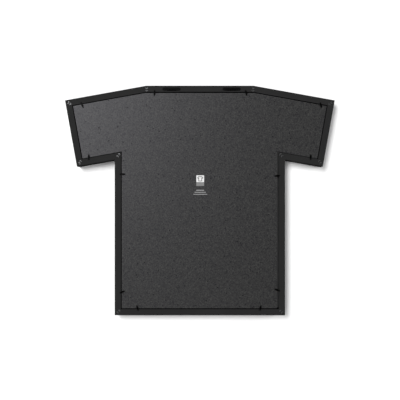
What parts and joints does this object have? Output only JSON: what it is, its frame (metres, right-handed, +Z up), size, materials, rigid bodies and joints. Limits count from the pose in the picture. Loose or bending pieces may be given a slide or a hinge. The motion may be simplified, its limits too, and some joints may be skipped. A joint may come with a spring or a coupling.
{
  "type": "jersey display frame",
  "caption": "T-shirt-shaped wall frame with mitred black rails, a clear pane, an insert board and a back panel held by swivelling turn buttons; hangs on sawtooth hangers.",
  "frame": {"origin": "middle of the neck rail's back face, on the line that the hangers hang from", "axes": "+X across the frame to the right as seen from the display side, +Y out of the back towards the wall, +Z up"},
  "size_m": [0.61, 0.0259, 0.519],
  "materials": {
    "rail": "black wrapped fibreboard, satin",
    "pane": "clear cast acrylic",
    "insert": "foam board with an off-white face and a black back, matt",
    "panel": "dark speckled hardboard, matt",
    "v_nail": "bright strip steel",
    "hanger": "black, satin",
    "nail": "black, satin",
    "pin": "black, satin",
    "turn_button": "black, satin"
  },
  "bodies": {
    "frame": {"rail_shoulder_left": "rail", "rail_cuff_left": "rail", "rail_underarm_left": "rail", "rail_side_left": "rail", "rail_hem": "rail", "rail_side_right": "rail", "rail_underarm_right": "rail", "rail_cuff_right": "rail", "rail_shoulder_right": "rail", "rail_neck": "rail", "clear_pane": "pane", "insert_board": "insert", "back_panel": "panel", "corner_v_nails": "v_nail", "hanger_left": "hanger", "hanger_right": "hanger", "hanger_nails": "nail", "button_pins": "pin"},
    "turn_button_neck_right": {"turn_button_neck_right": "turn_button"},
    "turn_button_neck_left": {"turn_button_neck_left": "turn_button"},
    "turn_button_shoulder_left": {"turn_button_shoulder_left": "turn_button"},
    "turn_button_underarm_left": {"turn_button_underarm_left": "turn_button"},
    "turn_button_side_left_upper": {"turn_button_side_left_upper": "turn_button"},
    "turn_button_side_left_lower": {"turn_button_side_left_lower": "turn_button"},
    "turn_button_hem_left": {"turn_button_hem_left": "turn_button"},
    "turn_button_hem_right": {"turn_button_hem_right": "turn_button"},
    "turn_button_side_right_lower": {"turn_button_side_right_lower": "turn_button"},
    "turn_button_side_right_upper": {"turn_button_side_right_upper": "turn_button"},
    "turn_button_underarm_right": {"turn_button_underarm_right": "turn_button"},
    "turn_button_shoulder_right": {"turn_button_shoulder_right": "turn_button"}
  },
  "joints": [
    {"name": "turn_neck_right", "type": "hinge", "parent": "frame", "child": "turn_button_neck_right", "pos_m": [0.102, 0.00075, -0.0044], "axis": [0, 1, 0], "continuous": true},
    {"name": "turn_neck_left", "type": "hinge", "parent": "frame", "child": "turn_button_neck_left", "pos_m": [-0.1035, 0.00075, -0.0044], "axis": [0, 1, 0], "continuous": true},
    {"name": "turn_shoulder_left", "type": "hinge", "parent": "frame", "child": "turn_button_shoulder_left", "pos_m": [-0.27195, 0.00075, -0.03215], "axis": [0, 1, 0], "continuous": true},
    {"name": "turn_underarm_left", "type": "hinge", "parent": "frame", "child": "turn_button_underarm_left", "pos_m": [-0.24998, 0.00075, -0.15967], "axis": [0, 1, 0], "continuous": true},
    {"name": "turn_side_left_upper", "type": "hinge", "parent": "frame", "child": "turn_button_side_left_upper", "pos_m": [-0.1799, 0.00075, -0.19631], "axis": [0, 1, 0], "continuous": true},
    {"name": "turn_side_left_lower", "type": "hinge", "parent": "frame", "child": "turn_button_side_left_lower", "pos_m": [-0.1799, 0.00075, -0.45631], "axis": [0, 1, 0], "continuous": true},
    {"name": "turn_hem_left", "type": "hinge", "parent": "frame", "child": "turn_button_hem_left", "pos_m": [-0.1355, 0.00075, -0.5001], "axis": [0, 1, 0], "continuous": true},
    {"name": "turn_hem_right", "type": "hinge", "parent": "frame", "child": "turn_button_hem_right", "pos_m": [0.1395, 0.00075, -0.5001], "axis": [0, 1, 0], "continuous": true},
    {"name": "turn_side_right_lower", "type": "hinge", "parent": "frame", "child": "turn_button_side_right_lower", "pos_m": [0.1799, 0.00075, -0.461], "axis": [0, 1, 0], "continuous": true},
    {"name": "turn_side_right_upper", "type": "hinge", "parent": "frame", "child": "turn_button_side_right_upper", "pos_m": [0.1799, 0.00075, -0.193], "axis": [0, 1, 0], "continuous": true},
    {"name": "turn_underarm_right", "type": "hinge", "parent": "frame", "child": "turn_button_underarm_right", "pos_m": [0.2509, 0.00075, -0.15984], "axis": [0, 1, 0], "continuous": true},
    {"name": "turn_shoulder_right", "type": "hinge", "parent": "frame", "child": "turn_button_shoulder_right", "pos_m": [0.26787, 0.00075, -0.03202], "axis": [0, 1, 0], "continuous": true}
  ]
}
